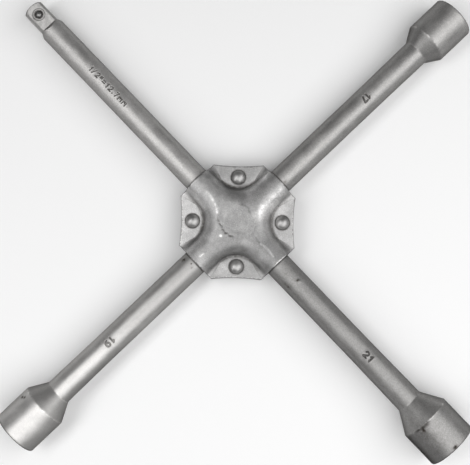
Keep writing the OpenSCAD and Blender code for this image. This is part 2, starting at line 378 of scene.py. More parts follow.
class BarSkin:
    """Rings of a bar's surface from the middle of one end to the middle of the other."""

    def __init__(self):
        self.stations, self.radii, self.inside, self.flats = [], [], [], []

    def ring(self, station, radius, inside=0.0, flat=0.0):
        """Adds one ring, whose station, radius and flat mark may change round the bar."""
        for store, value in ((self.stations, station), (self.radii, radius), (self.flats, flat)):
            store.append(np.broadcast_to(np.asarray(value, float), ANGLES.shape))
        self.inside.append(inside)

    def path(self, points, step, inside=0.0):
        """Rings along a polyline of station and radius, leaving out its first point."""
        for (s0, r0), (s1, r1) in zip(points, points[1:]):
            count = max(1, math.ceil(math.hypot(s1 - s0, r1 - r0) / step))
            for k in range(1, count + 1):
                self.ring(s0 + (s1 - s0) * k / count, r0 + (r1 - r0) * k / count, inside)

    def bake(self):
        """Turns the collected rings into arrays, ready for marks."""
        self.s = np.array(self.stations)
        self.r = np.array(self.radii)
        self.outside = 1 - np.array(self.inside)[:, None] * np.ones(len(ANGLES))
        self.turn = np.ones(len(self.stations))[:, None] * NEAR_ANGLES
        # Painted shade over the whole inside of each socket.
        self.pit = SOCKET_INSIDE_SHADE * (1 - self.outside)
        self.bare = np.array(self.flats)
        self.edge, self.scorch, self.calm, self.tone = np.zeros((4,) + self.r.shape)
        # Where the bar's sides turn away from the front, for the painted shade on its flanks.
        self.flank_shade = smooth(0.55, 1.0, np.abs(np.sin(self.turn))) * self.outside * (1 - self.bare)

    def stamp(self, text, station, height, depth, half_width=STAMP_HALF, gap=0.25, side=0.0,
              reverse=False, dirt_and_shade=1.0):
        """Sinks a text into the front of the bar, reading outwards, or inwards if it is reversed."""
        way = -1.0 if reverse else 1.0
        x = (self.s - station) * way
        y = (self.turn * self.r - side) * way
        sunk, struck = stamped(x, y, stamp_strokes(text, height, gap), half_width, depth)
        near = (self.outside > 0.5) & (np.abs(self.turn) < math.radians(TOP_HALF))
        self.r = self.r + np.where(near, sunk, 0)
        self.pit = np.maximum(self.pit, np.where(near, dirt_and_shade * struck, 0))

    def dent(self, station, angle, half_length, half_width, depth, slant=0.0):
        """Presses a small nick into the surface, or raises a bump where depth is negative."""
        x = self.s - station
        y = (self.turn - math.radians(angle)) * self.r
        x, y = x * math.cos(slant) + y * math.sin(slant), y * math.cos(slant) - x * math.sin(slant)
        away = (x / half_length) ** 2 + (y / half_width) ** 2
        shape = np.exp(-(away ** DENT_CRISPNESS)) * self.outside
        self.r = self.r - depth * shape
        if depth > 0:
            self.pit = np.maximum(self.pit, DENT_DIRT * shape)

    def stain(self, station, angle, half_length, half_width, amount):
        """Darkens the surface round a point, fading out evenly."""
        x = (self.s - station) / half_length
        y = (self.turn - math.radians(angle)) * self.r / half_width
        self.scorch = np.maximum(self.scorch, amount * np.exp(-(x * x + y * y)) * self.outside)

    def soil_and_shade(self, station, half_length, amount, angle=0.0, half_angle=360.0):
        """Marks a dark line that runs round the bar, or part of the way round it: painted shade at socket
        rims, plate ends and the square's shoulder, and dirt along the large socket's crease.
        """
        around = np.abs(self.turn - math.radians(angle)) / math.radians(half_angle)
        near = hump(self.s - station, half_length) * self.outside * (1 - smooth(0.6, 1.0, around))
        self.pit = np.maximum(self.pit, amount * near)

    def rub(self, station, half_length, amount):
        """Marks a worn edge that runs round the bar."""
        near = hump(self.s - station, half_length) * self.outside
        self.edge = np.maximum(self.edge, amount * near)

    def shade(self, by):
        """Makes the steel lighter or darker by a share at each point."""
        self.tone = (1 + self.tone) * (1 + by) - 1

    def object(self, name, heading):
        """The finished piece, with the skin's own axis turned to a heading in the XY plane."""
        outward = np.array([math.cos(heading), math.sin(heading), 0])
        side = np.array([-math.sin(heading), math.cos(heading), 0])
        up = np.array([0, 0, 1.0])
        across = np.sin(ANGLES)[:, None] * side + np.cos(ANGLES)[:, None] * up
        points = self.s[..., None] * outward + self.r[..., None] * across
        rows, columns = self.r.shape
        points = points.reshape(-1, 3)
        ends = [points[:columns].mean(0), points[-columns:].mean(0)]
        faces = grid_faces(rows, columns, True)
        first, last = len(points), len(points) + 1
        for k in range(columns):
            n = (k + 1) % columns
            faces.append((first, n, k))
            faces.append((last, (rows - 1) * columns + k, (rows - 1) * columns + n))
        # Painted shade darkens the bar's flanks.
        self.shade(-FLANK_PAINTED_SHADE * self.flank_shade)
        marks = {}
        for mark in ("pit", "edge", "scorch", "bare", "tone", "calm"):
            values = getattr(self, mark).reshape(-1)
            marks[mark] = np.concatenate([values, [values[:columns].mean(), values[-columns:].mean()]])
        return steel_object(name, np.vstack([points, ends]), faces, marks)


def hexagon_radius(flats):
    """Radius of a hexagon at each angle, with corners towards the front and the back."""
    within = (ANGLES % (math.pi / 3)) - math.pi / 6
    return flats / 2 / np.cos(within)


UPSET_EASE, CONE_EASE, WALL_EASE = 200.0, 1.1, 0.9
CREASE_MARGIN = 2.0
FLOOR_DROP, FLOOR_WIDTH = 0.1, 0.35
FLOOR_EASE, RELIEF_EASE = 0.25, 0.9
RELIEF_MIDDLE = 0.2
RIM_LINE = SOCKET_REACH - 0.25


def socket_end(skin, size, kind, od, start, fine):
    """Adds rings from a station on the bar out to the socket's mouth and in to the floor of its relief."""
    bar = size["bar"] / 2
    relief = relief_mm(f"relief_{kind}")
    flats = 2 * (relief + size["ledge"])
    wall_at = SOCKET_REACH - size[f"{kind}_wall"]
    cone_at = wall_at - size[f"{kind}_cone"]
    upset_at = cone_at - size["upset_length"]
    mouth = flats / math.sqrt(3) + size["lead_in"]
    outline = eased(
        [(start, bar), (upset_at, bar), (cone_at, bar + size["upset"]), (wall_at, od / 2),
         (SOCKET_REACH, od / 2), (SOCKET_REACH, mouth)],
        [UPSET_EASE, CONE_EASE, WALL_EASE, size["rim"]])
    crease = cone_at - CREASE_MARGIN
    shaft = np.array([point for point in outline if point[0] < crease + CREASE_MARGIN])
    stations = set(np.arange(start, crease, BAR_STEP))
    for low, high in fine:
        stations = {s for s in stations if not low < s < high} | set(np.arange(low, high, FINE_STEP))
    for s in sorted(stations):
        skin.ring(s, np.interp(s, *shaft.T))
    skin.path([(crease, np.interp(crease, *shaft.T))]
              + [point for point in outline if point[0] > crease], SOCKET_STEP)
    drop = mouth - flats / 2
    hexagon = hexagon_radius(flats)
    for depth in np.arange(0.0, drop, LEAD_STEP)[1:]:
        skin.ring(SOCKET_REACH - depth, np.maximum(hexagon, mouth - depth), 1.0)
    for depth in np.linspace(drop, HEX_DEPTH, HEX_RINGS):
        skin.ring(SOCKET_REACH - depth, hexagon, 1.0)
    hex_end = SOCKET_REACH - HEX_DEPTH
    ledge_at, relief_end = hex_end - FLOOR_DROP, hex_end - RELIEF_LENGTH
    skin.ring(ledge_at, relief + FLOOR_WIDTH, 1.0)
    floor = eased(
        [(ledge_at, relief + FLOOR_WIDTH), (ledge_at, relief), (relief_end, relief),
         (relief_end, relief * RELIEF_MIDDLE)], [FLOOR_EASE, RELIEF_EASE], 3)
    skin.path(floor, RELIEF_STEP, 1.0)
    return wall_at, cone_at


def tone_along(skin, stations, wall_at, cone_at, tones):
    """Sets a bar's tone between two stations of its shaft, then on the socket's cone and on its wall."""
    near, far, on_cone, on_wall = tones
    skin.tone = np.interp(skin.s, [*stations, cone_at - 1, cone_at + 1, wall_at - 1, wall_at + 1],
                          [near, far, far, on_cone, on_cone, on_wall])


FORGE_LEVEL, FORGE_MOST = 1.6, 4


def forge(skin, seed, wall_at, cone_at):
    """Gives a bar the slight unevenness of forging, rubbed creases and painted shade along the socket's rim.
    """
    on_socket = smooth(cone_at, wall_at, skin.s)
    swells = ((seed, 0.018, 8, 24.0, 1.0), (seed + 1, 0.02, 12, 9.0, on_socket))
    for draw, depth, round_bar, reach, where in swells:
        swell = FORGE_LEVEL + uneven(draw, skin.s, skin.turn * round_bar, reach)
        skin.r = skin.r - depth * skin.outside * np.clip(swell, 0, FORGE_MOST) * where
    skin.rub(wall_at, 0.55, 1.0)
    skin.rub(cone_at, 0.45, 0.7)
    # Painted shade along the rounded rim of the socket's mouth.
    skin.soil_and_shade(RIM_LINE, 0.45, 0.7)


# Plates and turned pieces.

class Patchwork:
    """Grids of points that share their borders, with marks on each point."""

    def __init__(self):
        self.points, self.faces, self.pit, self.edge, self.tone = [], [], [], [], []

    def patch(self, grid, pit=0.0, edge=0.0, tone=0.0):
        """Adds one grid of points, with the dirt and painted shade, rubbing and tone of each."""
        grid = np.asarray(grid, float)
        rows, columns = grid.shape[:2]
        self.faces += grid_faces(rows, columns, False, sum(len(p) for p in self.points))
        self.points.append(grid.reshape(-1, 3))
        for store, values in ((self.pit, pit), (self.edge, edge), (self.tone, tone)):
            store.append(np.broadcast_to(np.asarray(values, float), (rows, columns)).reshape(-1))

    def object(self, name):
        """The finished piece, with the grids joined along their borders."""
        marks = {mark: np.concatenate(getattr(self, mark)) for mark in ("pit", "edge", "tone")}
        return steel_object(name, np.vstack(self.points), self.faces, marks)


TURNED_SIDES, HOLE_SIDES = 48, 32


def turned_grid(profile, sides):
    """Points of a profile of radius and height turned about the Z axis."""
    turns = np.linspace(0, 2 * math.pi, sides + 1)
    profile = np.asarray(profile, float)
    return np.stack([profile[:, :1] * np.cos(turns), profile[:, :1] * np.sin(turns),
                     profile[:, 1:] * np.ones(sides + 1)], 2)


def turned_object(name, profiles, centre, sides, pit=0.0):
    """A piece turned from one or more closed profiles, standing at a centre."""
    work = Patchwork()
    for profile in profiles:
        work.patch(turned_grid(profile, sides) + np.asarray(centre, float), pit)
    return work.object(name)


RIM_STEPS = 4


def rim_rows(outer, inner, outward, rounding):
    """Rows of points over a sheared and rounded edge, from the outer skin's border to the inner one's."""
    through = (inner - outer) / np.linalg.norm(inner - outer, axis=1, keepdims=True)
    turns = np.linspace(0, math.pi / 2, RIM_STEPS + 1)
    rows = [outer + rounding * (outward * math.sin(t) + through * (1 - math.cos(t))) for t in turns]
    rows += [inner + rounding * (outward * math.sin(t) - through * (1 - math.cos(t))) for t in turns[::-1]]
    return np.stack(rows)


FORM_STEPS = 18
FOLD_STEPS = 9
WEB_STEPS = 84
ARM_STEPS = 20
MIDDLE_STEPS = 46
LOBE_STEPS = 20
FOLD_OPENING = 0.9
BOTH_ENDS = np.array([[1.0, 0.0], [0.0, 1.0]])


def plate_section(size, deep, fold):
    """Half section of the raised form, from crest to foot: its outer skin, or the inner one where deep."""
    form = PLATE_HIGH[2]
    foot = math.sqrt((form + fold) ** 2 - (size["sheet"] + fold) ** 2)
    tangent = math.atan2(foot, size["sheet"] + fold)
    radius, fold_radius = (form - size["sheet"], fold + size["sheet"]) if deep else (form, fold)
    section = []
    for t in np.linspace(0, tangent, FORM_STEPS + 1):
        section.append((radius * math.sin(t), radius * math.cos(t)))
    for t in np.linspace(tangent, 0, FOLD_STEPS + 1)[1:]:
        section.append((foot - fold_radius * math.sin(t), size["sheet"] + fold - fold_radius * math.cos(t)))
    return np.array(section)


# Marks on the front plate, in millimetres from the crossing.

SCRAPE = chain([(-9.3, -7.0), (-8.2, -8.0), (-6.6, -8.2), (-5.2, -8.9), (-3.8, -8.8), (-2.4, -9.9),
                (-0.8, -9.7)])
DEEP_SCRAPE = chain([(-0.8, -9.7), (0.7, -10.3), (1.5, -9.4), (2.4, -9.3), (3.6, -9.5), (5.0, -8.6)])
FAINT_SCRAPE = chain([(-5.0, 8.8), (-0.9, 10.1), (2.2, 8.9)])
LEFT_STREAK = chain([(-24.7, -1.2), (-20.8, -1.5), (-16.8, -2.3), (-13.8, -3.4), (-11.9, -5.2)])
RIGHT_STREAK = chain([(5.6, 32.0), (5.4, 26.0), (4.9, 20.5), (4.9, 16.5), (6.5, 12.0)])
CREST_STREAK = chain([(20.0, 0.4), (23.5, 1.1), (26.5, 1.2), (30.7, 0.6)])
# A painted highlight along the front plate's end over the +X bar.
END_HIGHLIGHT = chain([(35.2, -3.0), (35.2, 6.5)])
BUMP_AT, BUMP_HALF = (-0.05, -13.4), math.sqrt(0.45)
RINGS_AT, RING_HALF = (1.5, 0.5), 0.6
RINGS = ((9.3, 0.09), (5.6, 0.06))
BUMP_LIFT, GROOVE_DEPTH, FAINT_DEPTH, RING_DEPTH = 0.08, 0.2, 0.04, 0.03
SCRAPE_HALF, DEEP_HALF, FAINT_HALF = 0.42, 0.65, 0.4
PATCHY_SEED, PATCHY_SIZE = 41, 2.2
FAINT_DIRT = 0.3

# Rubbed streaks as strokes, half width and amount. The streak along the right ridge is also a painted
# highlight.
RUBBED_AND_HIGHLIT = ((LEFT_STREAK, 0.7, 1.0), (RIGHT_STREAK, 2.2, 0.7), (CREST_STREAK, 0.4, 0.4))


def ring_at(x, y, radius):
    """A shallow ring pressed into the middle of the raised form."""
    return hump(np.hypot(x - RINGS_AT[0], y - RINGS_AT[1]) - radius, RING_HALF)


def press_marks(x, y):
    """Press and handling marks on the front plate: change in height, dirt and bright rubbing, which along
    the right ridge is also a painted highlight.
    """
    patchy = np.clip(0.75 + 0.45 * uneven(PATCHY_SEED, x, y, PATCHY_SIZE), 0.25, 1.0)
    groove = patchy * np.maximum(streak(x, y, SCRAPE, SCRAPE_HALF), streak(x, y, DEEP_SCRAPE, DEEP_HALF))
    faint = streak(x, y, FAINT_SCRAPE, FAINT_HALF)
    bump = hump(np.hypot(x - BUMP_AT[0], y - BUMP_AT[1]), BUMP_HALF)
    rub = bump
    for strokes, half_width, amount in RUBBED_AND_HIGHLIT:
        rub = np.maximum(rub, amount * streak(x, y, strokes, half_width))
    lift = BUMP_LIFT * bump - GROOVE_DEPTH * groove - FAINT_DEPTH * faint
    lift = lift - RING_DEPTH * ring_at(x, y, RINGS[0][0])
    return lift, np.maximum(groove, FAINT_DIRT * faint), rub


# Painted highlights and shade as strokes, half width and amount, with a darker faint scrape and a lighter
# pressed bump among them. The painted shade over each bar and painted light on each lobe go round from +X.

PAINTED_LIGHT_AND_MARKS = (
    (RIGHT_STREAK, 3.0, 0.36),
    (chain([(8.5, 21.0), (9.5, 16.0)]), 2.5, 0.2),
    (LEFT_STREAK, 1.0, 0.25),
    (CREST_STREAK, 0.5, 0.5),
    (chain([(15.5, 0.9), (18.0, 0.2), (20.0, 0.4)]), 0.5, -0.18),
    (FAINT_SCRAPE, 1.2, -0.24),
    (chain([(-0.3, -13.4), (0.2, -13.4)]), 0.6, 1.6),
    (chain([(0.4, -31.0), (0.6, -28.4)]), 0.5, 1.0),
    (chain([(-8.8, 30.0), (-8.5, 20.0), (-8.5, 16.0)]), 2.5, 0.75),
    (chain([(-9.5, 31.5), (-9.0, 34.5)]), 2.0, 0.5),
    (chain([(-5.5, 9.5), (-2.5, 13.0), (-2.0, 15.0)]), 2.8, -0.3),
    (chain([(3.5, -27.0), (3.5, -18.0), (5.3, -12.4), (8.8, -8.8)]), 3.0, -0.25),
    (chain([(-5.8, 28.0), (-5.4, 17.0)]), 2.5, 0.5),
    (chain([(-26.0, 6.5), (-18.0, 5.3)]), 2.5, 0.35),
    (chain([(-5.3, -30.0), (-5.3, -18.0)]), 2.5, 0.4),
    (chain([(-27.0, -8.5), (-20.0, -8.8)]), 2.0, 0.35),
    (chain([(26.0, -6.5), (18.5, -7.1)]), 2.5, 0.4),
    (chain([(7.0, -32.0), (9.0, -26.0), (10.6, -21.0)]), 2.5, -0.3),
    (chain([(33.0, -7.5), (33.0, -5.0)]), 2.0, -0.2),
    (chain([(-33.0, 8.5), (-31.0, 7.0)]), 2.5, -0.3),
    (chain([(-23.5, -15.5), (-20.0, -18.0)]), 4.0, 0.3),
    (chain([(-13.5, -23.5), (-11.5, -25.5)]), 4.0, -0.2),
    (chain([(12.5, -26.5), (15.5, -24.5)]), 4.0, 0.28),
    (chain([(24.5, -13.5), (26.5, -12.0)]), 4.0, -0.15),
    (chain([(14.5, 23.5), (17.0, 21.5)]), 4.0, 0.15),
)
ARM_PAINTED_SHADE = (-0.25, -0.26, -0.06, 0.0)
LOBE_PAINTED_LIGHT = (0.27, 0.0, 0.42, 0.0)
# Painted light and shade on each quarter's steep flank, lighter towards the plate ends, and painted shade in
# each quarter's valley, going round from +X.
STEEP_PAINTED_LIGHT = (0.8, -0.05, 0.25, 0.0)
END_PAINTED_LIGHT = 0.5
VALLEY_SHADE = (0.85, 0.95, 1.0, 0.85)
VALLEY_HALF, VALLEY_SHIFT, LOBE_PACE = 1.15, 0.1, 0.65
STEEP_ROW, STEEP_HALF = FORM_STEPS - 6, 5.0
# Painted shade over the plates' inner skins, and dirt in the scrape.
UNDER_SHADE, SCRAPE_GRIME = 0.6, 0.9
# Painted shade round each rivet's foot.
RIVET_SHADE, RIVET_SHADE_HALF = 0.9, 0.45
RIM_RUB, RIM_TONE = 0.35, 0.3
# Rubbing of the sheared edges, and the painted shade on them.
SHEAR_RUB, SHEAR_SHADE_TONE, SHEAR_SHADE = 0.3, -0.35, 0.7
# A painted highlight along one plate end.
HIGHLIGHT_HALF, HIGHLIGHT_TONE = 0.6, 1.3


def press_light_and_marks(x, y, height):
    """Painted light and shade on the front plate, over each bar, on each lobe and along strokes, with its
    faint scrape and pressed rings.
    """
    angle = np.arctan2(y, x)
    arm = sum(tone * np.clip(np.cos(angle - at * math.pi / 2), 0, None) ** 2
              for at, tone in enumerate(ARM_PAINTED_SHADE))
    lobe = np.array(LOBE_PAINTED_LIGHT)[np.floor(angle / (math.pi / 2)).astype(int) % 4]
    raised = smooth(2.5, 6.0, height)
    tone = raised * arm * smooth(9.0, 22.0, np.hypot(x, y)) + (1 - raised) * lobe
    for strokes, half_width, amount in PAINTED_LIGHT_AND_MARKS:
        tone = tone + amount * streak(x, y, strokes, half_width)
    for radius, amount in RINGS:
        tone = tone + amount * ring_at(x, y, radius)
    return tone


def rivet_foot_shade(grid):
    """Painted shade in a ring round the foot of each rivet's head."""
    dirt_and_shade = np.zeros(grid.shape[:2])
    for low, high in RIVETS.values():
        from_rivet = np.hypot(*np.moveaxis(grid[..., :2] - (low + high)[:2] / 2, -1, 0))
        dirt_and_shade = np.maximum(dirt_and_shade, RIVET_SHADE * hump(from_rivet - (high - low)[0] / 2, RIVET_SHADE_HALF))
    return dirt_and_shade


def raised_form(size, deep):
    """Quarter of the raised form from one bar's end to the next, and how tightly each row is folded."""
    reach = PLATE_HIGH[0]
    centre = size["web"] + PLATE_HIGH[2]
    rows, folded = [], []
    for x in np.linspace(reach - size["plate_round"], centre, ARM_STEPS + 1):
        outward = ((x - centre) / (reach - centre)) ** FOLD_OPENING
        folded.append(1 - outward)
        across, height = plate_section(size, deep, size["fold"] + size["fold_growth"] * outward).T
        rows.append(np.stack([np.full_like(across, x), across, height], 1))
    across, height = plate_section(size, deep, size["fold"]).T
    away = centre - across
    turns = np.linspace(-math.pi / 2, -math.pi, WEB_STEPS + 1)[1:-1]
    for turn in turns:
        rows.append(np.stack([centre + away * math.cos(turn), centre + away * math.sin(turn), height], 1))
    rows += [row[:, (1, 0, 2)] for row in rows[ARM_STEPS::-1]]
    return np.array(rows), np.array(folded + [1.0] * len(turns) + folded[::-1])


def lobe_outline(size, start):
    """Free edge of a lobe from one bar to the next, and the way that each of its points faces."""
    reach = PLATE_HIGH[0]
    hollow, end_half = size["lobe_hollow"], size["plate_end"] / 2
    chord = (reach - end_half) * math.sqrt(2)
    hollow_r = chord ** 2 / (8 * hollow) + hollow / 2
    lobe_mid = (reach + end_half) / math.sqrt(2) - hollow
    swing = math.asin(chord / 2 / hollow_r)
    diagonal = np.array([[1, 1], [-1, 1]]) / math.sqrt(2)
    sweep = np.linspace(swing, -swing, WEB_STEPS + 1)
    facing = np.stack([np.cos(sweep), np.sin(sweep)], 1)
    free = ((lobe_mid + hollow_r, 0) - hollow_r * facing) @ diagonal
    facing = facing @ diagonal
    ends = np.repeat(BOTH_ENDS, ARM_STEPS, axis=0)
    corners = (facing[[0, -1]] + BOTH_ENDS) / (1 + (facing[[0, -1]] * BOTH_ENDS).sum(1, keepdims=True))
    outward = np.vstack([ends[:ARM_STEPS], corners[:1], facing[1:-1], corners[1:], ends[ARM_STEPS:]])
    free = free - size["plate_round"] * outward[ARM_STEPS:-ARM_STEPS]
    end = np.linspace(start[:2], free[0], ARM_STEPS + 1)
    outline = np.vstack([end, free[1:-1], end[::-1, ::-1]])
    return np.column_stack([outline, np.full(len(outline), start[2])]), outward


def dished_middle(size, crests):
    """Quarter of the raised form's middle, from the crossing out to the crests of the web."""
    rays = np.linspace(0, 1, MIDDLE_STEPS + 1)[None, :, None]
    middle = crests[:, None] * rays
    hollow = 1 - smooth(5.0, 13.0, np.hypot(middle[..., 0], middle[..., 1]))
    middle[..., 2] = crests[0, 2] - size["dish"] * hollow * (1 - smooth(0.55, 1.0, rays[..., 0]))
    return middle


def plate_object(name, size, side):
    """A pressed plate, raised towards the front where side is 1 or the back where it is -1."""
    work = Patchwork()
    rims, away_from = {}, {}
    for deep in (False, True):
        form, folded = raised_form(size, deep)
        outline, outward = lobe_outline(size, form[0, -1])
        steps = np.linspace(0, 1, LOBE_STEPS + 1)[None, :, None]
        lobe = form[:, -1:] * (1 - steps) + outline[:, None] * steps
        middle = dished_middle(size, form[ARM_STEPS:ARM_STEPS + WEB_STEPS + 1, 0])
        points = form.shape[1]
        across, height = plate_section(size, deep, size["fold"]).T
        walk = np.cumsum(np.hypot(np.diff(across, prepend=across[0]), np.diff(height, prepend=height[0])))
        from_valley = np.append(walk, walk[-1] + LOBE_PACE * np.arange(1, LOBE_STEPS + 1)) - walk[-1]
        valley = hump(from_valley + VALLEY_SHIFT, VALLEY_HALF)
        steep = hump(np.arange(points) - STEEP_ROW, STEEP_HALF)
        form_rim, lobe_rim = np.zeros(form.shape[:2]), np.zeros(lobe.shape[:2])
        form_rim[0] = form_rim[-1] = 1.0
        lobe_rim[0] = lobe_rim[-1] = lobe_rim[:, -1] = 1.0
        border = np.concatenate([form[0], outline, form[-1][::-1]])
        arch = np.repeat(BOTH_ENDS, points, axis=0)
        outward = np.vstack([arch[:points], outward, arch[points:]])
        outward = np.column_stack([outward, np.zeros(len(outward))])
        for quarter in range(4):
            c, s = math.cos(quarter * math.pi / 2), math.sin(quarter * math.pi / 2)
            turned = np.array([[c, -s, 0], [s, c, 0], [0, 0, 1]])
            # Painted shade along the fold's valley.
            grime_with_shade = VALLEY_SHADE[quarter] * valley[None, :] * folded[:, None]
            # Painted light and shade on the raised form's steep flank, lighter towards the plate ends.
            painted_flank_light = steep[None, :] * (STEEP_PAINTED_LIGHT[quarter] * folded + END_PAINTED_LIGHT * (1 - folded))[:, None]
            parts = ((form, grime_with_shade[:, :points], form_rim, painted_flank_light),
                     (lobe, grime_with_shade[:, points - 1:], lobe_rim, 0.0),
                     (middle, 0.0, 0.0, 0.0))
            for grid, pit, rim, tone in parts:
                grid = grid @ turned.T
                rub = RIM_RUB * rim
                tone = tone + RIM_TONE * rub
                if not deep and side > 0:
                    lift, groove, streaks = press_marks(grid[..., 0], grid[..., 1])
                    rub = np.maximum(streaks, rub)
                    tone = (1 + press_light_and_marks(grid[..., 0], grid[..., 1], grid[..., 2])) * (1 + tone) - 1
                    grid[..., 2] += lift
                    pit = np.maximum(pit, SCRAPE_GRIME * groove)
                # Painted shade over the plates' inner skins, and in a ring round each rivet's foot.
                pit = UNDER_SHADE if deep else np.maximum(pit, rivet_foot_shade(grid))
                grid[..., 2] *= side
                work.patch(grid, pit, rub, tone)
            rims[quarter, deep] = border @ turned.T * (1, 1, side)
            away_from[quarter] = outward @ turned.T
    through = np.linspace(0, 1, 2 * RIM_STEPS + 2)[:, None]
    rim_worn = 0.25 + 0.75 * np.abs(2 * through - 1)
    # Painted shade on the sheared edges.
    rim_shade = SHEAR_SHADE * smooth(0.5, 1.0, through)
    for quarter in range(4):
        rows = rim_rows(rims[quarter, False], rims[quarter, True], away_from[quarter], size["plate_round"])
        # Painted highlight along the front plate's end.
        highlight = streak(rows[..., 0], rows[..., 1], END_HIGHLIGHT, HIGHLIGHT_HALF) * (side > 0)
        work.patch(rows, rim_shade * (1 - highlight), SHEAR_RUB * rim_worn, HIGHLIGHT_TONE * highlight + SHEAR_SHADE_TONE)
    obj = work.object(name)
    punch = Patchwork()
    shank, past = size["rivet_shank"] / 2, size["sheet"] * 1.5
    hole = turned_grid([(0, -past), (shank, -past), (shank, past), (0, past)], HOLE_SIDES)
    for low, high in RIVETS.values():
        punch.patch(hole + (low + high) / 2)
    cut_away(obj, punch.object("rivet_holes"))
    return obj


# Finishes. Textures follow each piece's own coordinates in metres.

def socket_of(tree, value, socket):
    """Links or sets one input of a node."""
    if isinstance(value, bpy.types.NodeSocket):
        tree.links.new(value, socket)
    else:
        socket.default_value = value


def node(tree, kind, inputs=None, **settings):
    """New shader node with its settings, and its inputs linked or set."""
    made = tree.nodes.new(kind)
    for name, value in settings.items():
        setattr(made, name, value)
    for name, value in (inputs or {}).items():
        socket_of(tree, value, made.inputs[name])
    return made


def sum_of(tree, operation, *values):
    """Result of a maths node."""
    return node(tree, "ShaderNodeMath", dict(enumerate(values)), operation=operation).outputs[0]


def spread(tree, value, low, high, to_low=0.0, to_high=1.0):
    """A value mapped softly from one span to another and held within it."""
    made = node(tree, "ShaderNodeMapRange", {0: value, 1: low, 2: high, 3: to_low, 4: to_high},
                interpolation_type="SMOOTHSTEP")
    return made.outputs[0]


def blend(tree, amount, first, second, kind="MIX"):
    """Two colours blended by an amount."""
    made = node(tree, "ShaderNodeMix", data_type="RGBA", blend_type=kind, clamp_factor=True)
    for value, socket in ((amount, made.inputs[0]), (first, made.inputs[6]), (second, made.inputs[7])):
        socket_of(tree, value, socket)
    return made.outputs[2]


def noise(tree, where, scale, detail=2.0, roughness=0.5):
    """Noise over the piece, from nought to one."""
    return node(tree, "ShaderNodeTexNoise",
                {"Vector": where, "Scale": scale, "Detail": detail, "Roughness": roughness}).outputs["Fac"]


def per(tree, size):
    """Noise scale for a feature of a given size."""
    return sum_of(tree, "DIVIDE", 1.0, size)


def effect(name, inputs, outputs):
    """A new node group with float inputs and outputs."""
    tree = bpy.data.node_groups.new(name, "ShaderNodeTree")
    for label, value in inputs.items():
        socket = tree.interface.new_socket(label, in_out="INPUT", socket_type="NodeSocketFloat")
        socket.default_value = value
    for label in outputs:
        tree.interface.new_socket(label, in_out="OUTPUT", socket_type="NodeSocketFloat")
    return tree, tree.nodes.new("NodeGroupInput").outputs, tree.nodes.new("NodeGroupOutput").inputs


def place_of(tree):
    """The piece's own coordinates."""
    return tree.nodes.new("ShaderNodeTexCoord").outputs["Object"]


def mark_of(tree, name):
    """A mark stored on the piece's points."""
    return node(tree, "ShaderNodeAttribute", attribute_name=name, attribute_type="GEOMETRY").outputs["Fac"]


def blast_grain():
    """Fine pitting of blasted steel, with small mottles and larger clouds."""
    tree, given, result = effect(
        "Blast grain", {"Grain size": 0.0005, "Cloud size": 0.009}, ("Grain", "Mottle", "Cloud"))
    where = place_of(tree)
    per_grain = per(tree, given["Grain size"])
    tree.links.new(noise(tree, where, per_grain, 4.0, 0.6), result["Grain"])
    mottle = noise(tree, where, sum_of(tree, "MULTIPLY", per_grain, 0.3), 3.0, 0.6)
    tree.links.new(spread(tree, mottle, 0.3, 0.7), result["Mottle"])
    cloud = noise(tree, where, per(tree, given["Cloud size"]), 3.0, 0.55)
    tree.links.new(spread(tree, cloud, 0.3, 0.7), result["Cloud"])
    return tree


def grime_and_painted_shade():
    """Dirt and painted shade where the piece's points are marked for them, broken up by noise."""
    tree, given, result = effect("Grime in corners", {"Amount": 1.0, "Patch size": 0.0016}, ("Dirt",))
    patch = noise(tree, place_of(tree), per(tree, given["Patch size"]), 3.0, 0.6)
    broken = spread(tree, patch, 0.25, 0.75, 0.55, 1.0)
    dirt_and_shade = sum_of(tree, "MULTIPLY", mark_of(tree, "pit"), broken)
    tree.links.new(sum_of(tree, "MULTIPLY", dirt_and_shade, given["Amount"]), result["Dirt"])
    return tree


def rubbed_edges():
    """Bright metal where edges are rubbed, broken along their length."""
    tree, given, result = effect("Rubbed edges", {"Amount": 1.0, "Break size": 0.002}, ("Rub",))
    gaps = noise(tree, place_of(tree), per(tree, given["Break size"]), 2.0, 0.5)
    kept = spread(tree, gaps, 0.38, 0.66)
    rub = sum_of(tree, "MULTIPLY", mark_of(tree, "edge"), kept)
    tree.links.new(sum_of(tree, "MULTIPLY", rub, given["Amount"]), result["Rub"])
    return tree


def fine_scratches():
    """Sparse hair scratches in two directions."""
    tree, given, result = effect(
        "Fine scratches", {"Length": 0.02, "Width": 0.00035, "Amount": 1.0}, ("Scratch",))
    where = place_of(tree)
    lines = []
    for turn in (0.5, 2.2):
        bent = node(tree, "ShaderNodeVectorRotate", {"Vector": where, "Angle": turn},
                    rotation_type="Z_AXIS")
        parts = node(tree, "ShaderNodeSeparateXYZ", {0: bent.outputs[0]}).outputs
        stretches = enumerate(("Length", "Width", "Length"))
        scaled = {axis: sum_of(tree, "DIVIDE", parts[axis], given[by]) for axis, by in stretches}
        stretched = node(tree, "ShaderNodeCombineXYZ", scaled)
        lines.append(spread(tree, noise(tree, stretched.outputs[0], 1.0, 1.0), 0.68, 0.78))
    both = sum_of(tree, "MAXIMUM", *lines)
    tree.links.new(sum_of(tree, "MULTIPLY", both, given["Amount"]), result["Scratch"])
    return tree


EFFECTS = {}


def use(tree, maker, **values):
    """Places a shared effect in a material, with its own values."""
    if maker.__name__ not in EFFECTS:
        EFFECTS[maker.__name__] = maker()
    made = node(tree, "ShaderNodeGroup", node_tree=EFFECTS[maker.__name__])
    for name, value in values.items():
        made.inputs[name.replace("_", " ")].default_value = value
    return made.outputs


def shade(base, by):
    """A colour made lighter or darker, as four numbers."""
    return tuple(min(1.0, channel * by) for channel in base[:3]) + (1.0,)


